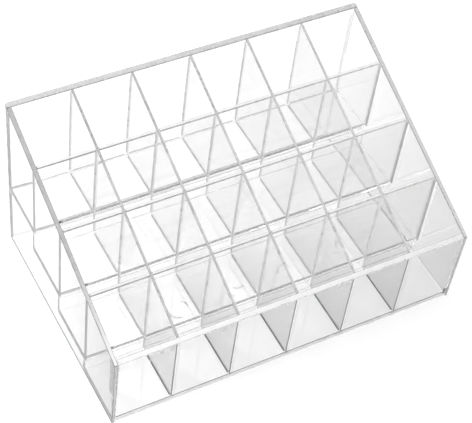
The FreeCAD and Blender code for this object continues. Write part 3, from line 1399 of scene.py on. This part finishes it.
    def column_foot(self, node: str) -> tuple[list[Joint], list[Joint]]:
        """Finds a column divider's joints with the floors, on its left.

        Args:
            node: The column divider.

        Returns:
            The joint with the front floor, and those with the others.
        """
        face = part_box(node)[0].x
        found = []
        for front, back, top in self.cells(node):
            start = Vector((face, front + self.margin, top))
            end = Vector((face, back - self.margin, top))
            found.append(self.stretches(start, end, LEFT * self.foot_size, UP * self.foot_size))
        return found[0], sum(found[1:], [])

    def column_uprights(self, node: str) -> tuple[list[Joint], list[Joint], list[Joint]]:
        """Finds a column divider's upright joints.

        Args:
            node: The column divider.

        Returns:
            The front one on the left, the others on the left, and those on the right.
        """
        low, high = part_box(node)
        size = self.upright_size
        sides = ([], [])
        for found, face, away in zip(sides, (low.x, high.x), (LEFT, RIGHT)):
            for front, back, top in self.cells(node):
                for depth, inward in ((front, REAR), (back, FORWARD)):
                    start = Vector((face, depth, top + self.margin))
                    end = Vector((face, depth, self.rim.height(depth) - self.margin))
                    found.append(self.stretches(start, end, away * size, inward * size))
        left, right = sides
        return left[0], sum(left[1:], []), sum(right, [])

    def row_foot(self, node: str) -> tuple[list[Joint], list[Joint]]:
        """Returns the joint behind a row divider's foot: its left corner and the rest."""
        low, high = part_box(node)
        return self.cell_by_cell(high.y, low.z, REAR)

    def back_foot(self) -> tuple[list[Joint], list[Joint]]:
        """Returns the joint of the back panel with the back floor: its left corner and the rest."""
        return self.cell_by_cell(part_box("back_panel")[0].y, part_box("back_row_floor")[1].z, FORWARD)

    def cell_by_cell(self, depth: float, height: float, away: Vector) -> tuple[list[Joint], list[Joint]]:
        """Breaks a joint across the organizer at the column dividers.

        Args:
            depth: The joint's place from front to back.
            height: The joint's height.
            away: The direction away from the joint along the floor.

        Returns:
            The thick stretch in the left corner, and the other stretches.
        """
        lines = [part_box(node) for node in COLUMN_DIVIDERS]
        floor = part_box(ROW_FLOORS[0])
        lefts = [floor[0].x + self.corner_run] + [line[1].x for line in lines]
        rights = [line[0].x for line in lines] + [floor[1].x]
        corner = Vector((floor[0].x, depth, height))
        reach = self.foot_corner_size
        thick = Joint(corner, corner + RIGHT * self.corner_run, away * reach, UP * reach)
        found = []
        for left, right in zip(lefts, rights):
            start = Vector((left + self.margin, depth, height))
            end = Vector((right - self.margin, depth, height))
            found += self.stretches(start, end, away * self.line_size, UP * self.line_size)
        return [thick], found

    def row_end_highlight(self, node: str) -> list[Joint]:
        """Finds the place for the white film in front of a row divider's right end, a painted highlight
        beside its joint.

        Args:
            node: The row divider.

        Returns:
            The joint's stretches.
        """
        low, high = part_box(node)
        start = Vector((high.x, low.y - self.squeeze, low.z + self.film_margin))
        end = Vector((high.x, start.y, self.rim.height(low.y) - self.margin))
        return self.stretches(start, end, RIGHT * self.film_depth, FORWARD * self.film_size)

    def corner(self, side: Side, depth: float, away: Vector, span: tuple[float, float]) -> list[Joint]:
        """Finds the joint of a side panel with the front or back panel.

        Args:
            side: The side.
            depth: The joint's place from front to back.
            away: The direction away from the joint along the side panel.
            span: The heights of the joint's foot and head.

        Returns:
            The joint's stretches.
        """
        inner = side.value * min(abs(corner.x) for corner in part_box(side.panel))
        start, end = (Vector((inner, depth, height)) for height in span)
        return self.stretches(start, end, LEFT * side.value * self.corner_size, away * self.corner_size)

    def rear_corner(self, side: Side) -> list[Joint]:
        """Finds the joints in a rear inner corner, under and over the back floor.

        Args:
            side: The side.

        Returns:
            The joints' stretches.
        """
        low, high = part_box("back_row_floor")
        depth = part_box("back_panel")[0].y
        under = (self.margin, low.z - self.margin)
        over = (high.z + self.margin, self.rim.height(depth) - self.rear_stop)
        return [joint for span in (under, over) for joint in self.corner(side, depth, FORWARD, span)]

    def front_corner(self, side: Side) -> list[Joint]:
        """Returns the joint in a front inner corner, which stayed dry near the foot."""
        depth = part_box("front_panel")[1].y
        return self.corner(side, depth, REAR, (DRY_HEIGHT, self.rim.height(depth) - self.margin))

    def rim_drops(self) -> list[Joint]:
        """Finds places for the drops that ran down inside the front panel beside some columns.

        Returns:
            The drops' places.
        """
        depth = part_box("front_panel")[1].y
        found = []
        for column in self.drop_columns:
            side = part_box(COLUMN_DIVIDERS[column])[0].x
            for shift in self.drop_shifts:
                wide = self.drop_size * self.chance.uniform(*self.thick_shares)
                level = self.rim.height(depth) - self.drop_level * self.chance.uniform(*self.thick_shares)
                start = Vector((side - shift, depth, level))
                found.append(Joint(start, start + UP * wide, REAR * self.drop_depth, RIGHT * wide))
        return found

    def corner_specks(self) -> list[Joint]:
        """Finds places for the dark specks in the front corners, where the cement ran dry.

        Returns:
            The specks' places.
        """
        low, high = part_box("front_panel")
        places = [(low.x, DRY_HEIGHT)]
        for _ in range(self.speck_count):
            places.append((high.x - self.speck_size, self.margin + self.chance.random() * self.speck_rise))
        found = []
        for place, level in places:
            start = Vector((place, high.y, level))
            run = UP * self.speck_length * self.chance.uniform(*self.thick_shares)
            found.append(Joint(start, start + run, REAR * self.speck_size, RIGHT * self.speck_size))
        return found

    def floor_smears(self) -> list[Joint]:
        """Finds places for the smears on the second floor, left of all but the first column.

        Returns:
            The smears' places.
        """
        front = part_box(ROW_DIVIDERS[0])[1].y
        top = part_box(ROW_FLOORS[1])[1].z
        rise = UP * self.smear_height / self.smear_thick_share
        found = []
        for node in COLUMN_DIVIDERS[1:]:
            for _ in range(self.smears_per_cell):
                turn = Matrix.Rotation(self.chance.uniform(0.0, math.tau), 3, "Z")
                wide = turn @ RIGHT * self.chance.uniform(*self.smear_sizes)
                long = turn @ REAR * self.chance.uniform(*self.smear_sizes)
                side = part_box(node)[0].x - self.chance.uniform(*self.smear_reach)
                middle = Vector((side, front + self.chance.uniform(*self.smear_reach), top))
                found.append(Joint(middle, middle + long, wide, rise))
        return found


@dataclass
class Studio:
    """The white paper, the soft lamp and the pale room around the organizer."""

    floor: PaleFloor
    floor_size: float = 6.0
    floor_drop: float = 0.1 * MM
    lamp_place: Vector = field(default_factory=lambda: Vector((-0.3, 0.2, 0.36)))
    lamp_size: float = 0.25
    lamp_power: float = 1.1
    room_light: float = 0.95
    horizon_light: float = 1.7
    horizon_rise_share: float = 0.5
    dark_light: float = 0.2
    dark_side: Vector = field(default_factory=lambda: Vector((-0.37, -0.54, 0.755)))
    dark_shares: tuple[float, float] = (0.6, 0.95)

    def build(self) -> None:
        """Lays the paper and sets the light."""
        self.lay_floor()
        self.hang_lamp()
        self.paint_room()

    def lay_floor(self) -> None:
        """Lays the sheet of paper just under the foot of the organizer."""
        Bench.clear()
        bpy.ops.mesh.primitive_plane_add(size=self.floor_size, location=(0.0, 0.0, -self.floor_drop))
        paper = bpy.context.object
        paper.name = "paper"
        paper.data.materials.append(self.floor.material())

    def hang_lamp(self) -> None:
        """Hangs the soft lamp to the left, towards the back."""
        Bench.clear()
        bpy.ops.object.light_add(type="AREA", location=self.lamp_place)
        lamp = bpy.context.object
        lamp.name = "soft_lamp"
        lamp.data.size = self.lamp_size
        lamp.data.energy = self.lamp_power
        lamp.rotation_euler = (-self.lamp_place).to_track_quat("-Z", "Y").to_euler()

    def paint_room(self) -> None:
        """Paints the room: pale all round, with a darker side where a viewer would stand."""
        room = bpy.data.worlds.new("room")
        bpy.context.scene.world = room
        room.use_nodes = True
        wires = Wiring(room.node_tree)
        way = wires.add("TexCoord").outputs["Generated"]
        rise = wires.ramp(wires.axes(way)[2], 0.0, self.horizon_rise_share)
        pale = wires.between(rise, self.horizon_light, self.room_light)
        facing = wires.add("VectorMath", operation="DOT_PRODUCT")
        facing.inputs[1].default_value = self.dark_side.normalized()
        wires.join(way, facing.inputs[0])
        shade = wires.ramp(facing.outputs["Value"], *self.dark_shares)
        light = wires.between(shade, pale, self.dark_light)
        wires.join(light, room.node_tree.nodes["Background"].inputs["Color"])


@dataclass(frozen=True)
class Viewpoint:
    """The camera, standing where the photograph was taken from.

    Its angles are in degrees, and its lens and film width in millimetres.
    """

    azimuth: float = -34.5786
    elevation: float = 48.9750
    roll: float = -8.8581
    distance: float = 0.555216
    aim: tuple[float, float, float] = (0.00064, 0.00145, 0.030)
    lens: float = 113.352
    film_width: float = 36.0

    def build(self) -> None:
        """Sets up the camera and makes it the scene's own."""
        turn, tip = math.radians(self.azimuth), math.radians(self.elevation)
        ahead = Vector((-math.sin(turn) * math.cos(tip), math.cos(turn) * math.cos(tip), -math.sin(tip)))
        level = ahead.to_track_quat("-Z", "Y").to_matrix()
        rolled = Matrix.Rotation(math.radians(self.roll), 3, ahead) @ level
        Bench.clear()
        bpy.ops.object.camera_add()
        camera = bpy.context.object
        camera.matrix_world = Matrix.Translation(Vector(self.aim) - self.distance * ahead) @ rolled.to_4x4()
        camera.data.lens = self.lens
        camera.data.sensor_width = self.film_width
        bpy.context.scene.camera = camera


def set_render_depth() -> None:
    """Lets light pass through as many clear sheets as stand behind one another."""
    scene = bpy.context.scene
    scene.view_settings.view_transform = "Standard"
    scene.cycles.max_bounces = LIGHT_BOUNCES
    scene.cycles.transmission_bounces = LIGHT_BOUNCES
    scene.cycles.glossy_bounces = LIGHT_BOUNCES
    scene.cycles.transparent_max_bounces = LIGHT_BOUNCES


def main() -> None:
    """Builds the organizer and its studio, and reports each piece."""
    logging.basicConfig(level=logging.INFO, format="%(name)s: %(message)s")
    rim = RimPlane.from_frame()
    assemblies = (Shell(rim, Slot.SHELL), Stair(rim, Slot.STAIR), Grid(rim, Slot.DIVIDER), Cement(rim))
    for assembly in assemblies:
        assembly.build()
        for piece in assembly.pieces:
            log.info("%s: %s, %d faces", type(assembly).__name__, piece.name, len(piece.data.polygons))
    Studio(PaleFloor()).build()
    Viewpoint().build()
    set_render_depth()


if __name__ == "__main__":
    main()
